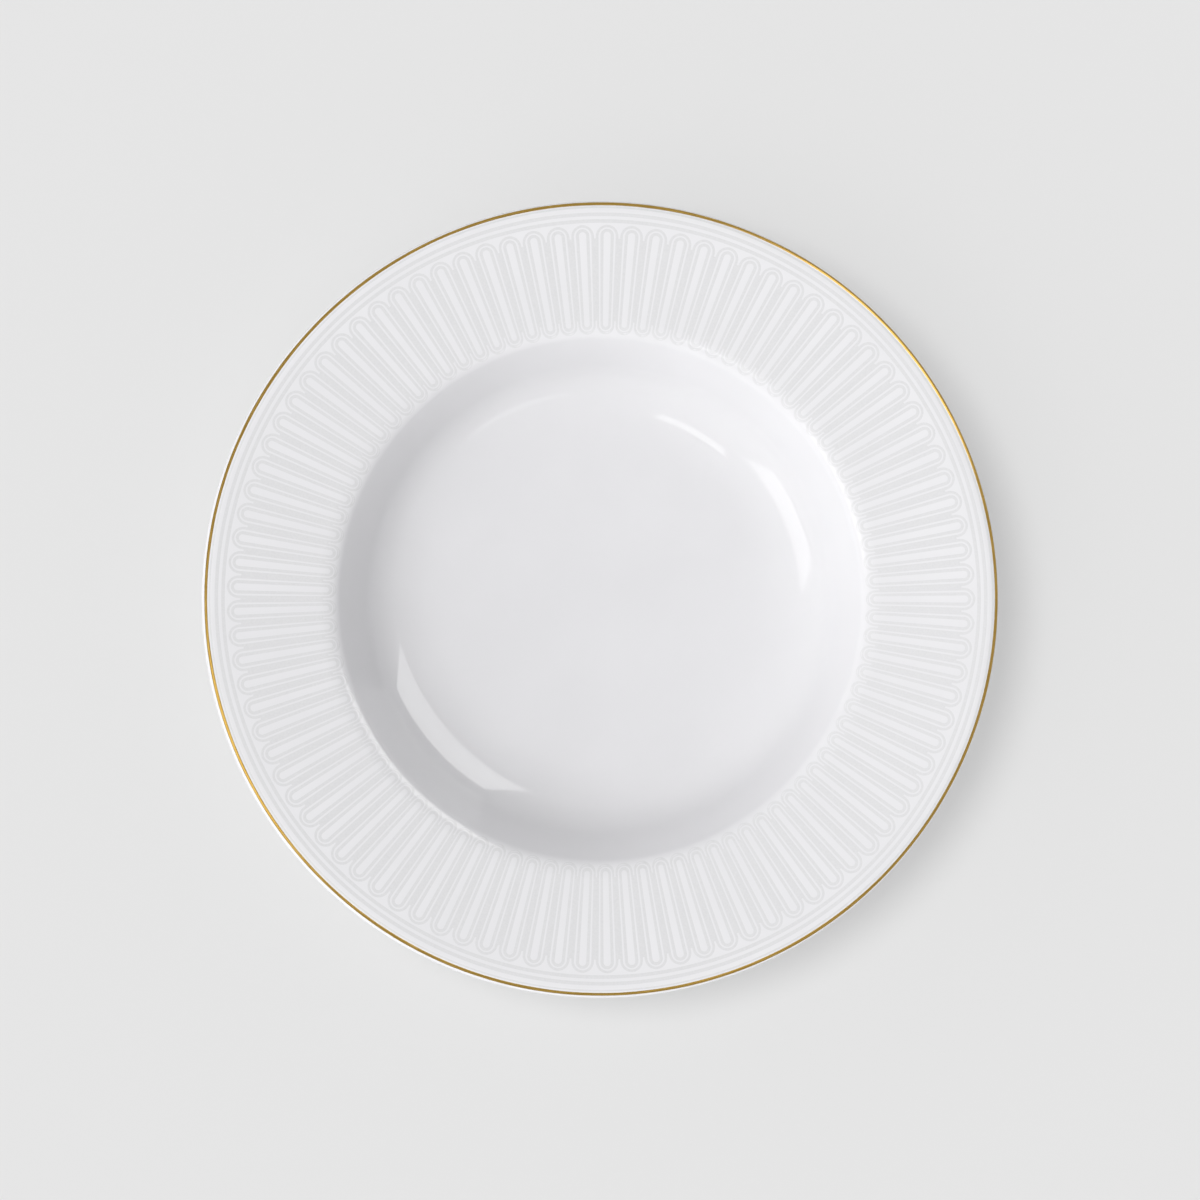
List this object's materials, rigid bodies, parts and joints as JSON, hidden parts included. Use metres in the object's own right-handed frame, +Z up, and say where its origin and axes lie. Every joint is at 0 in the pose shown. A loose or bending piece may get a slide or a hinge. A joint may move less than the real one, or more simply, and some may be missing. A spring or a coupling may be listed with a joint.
{
  "type": "soup plate",
  "caption": "Round porcelain soup plate with a deep well, a wide rim printed with a fluted band and ring lines, a gold edge line and a foot ring.",
  "frame": {"origin": "on the plate's axis, in the plane of the foot ring's standing face", "axes": "+Z up along the plate's axis; +X through the middle of one flute, to the picture's right; +Y to the picture's top"},
  "size_m": [0.2399, 0.24, 0.035],
  "materials": {
    "porcelain": "white porcelain under a clear gloss glaze, bare on the foot ring's standing face",
    "gold": "fired gold, polished, with fine marks of the brush",
    "grey_print": "pale grey ceramic print fired on to the glaze, gloss"
  },
  "bodies": {
    "root": {"porcelain_body": "porcelain", "gold_edge_band": "gold", "outer_ring_line": "grey_print", "inner_ring_line": "grey_print", "fluted_band": "grey_print"}
  },
  "joints": []
}
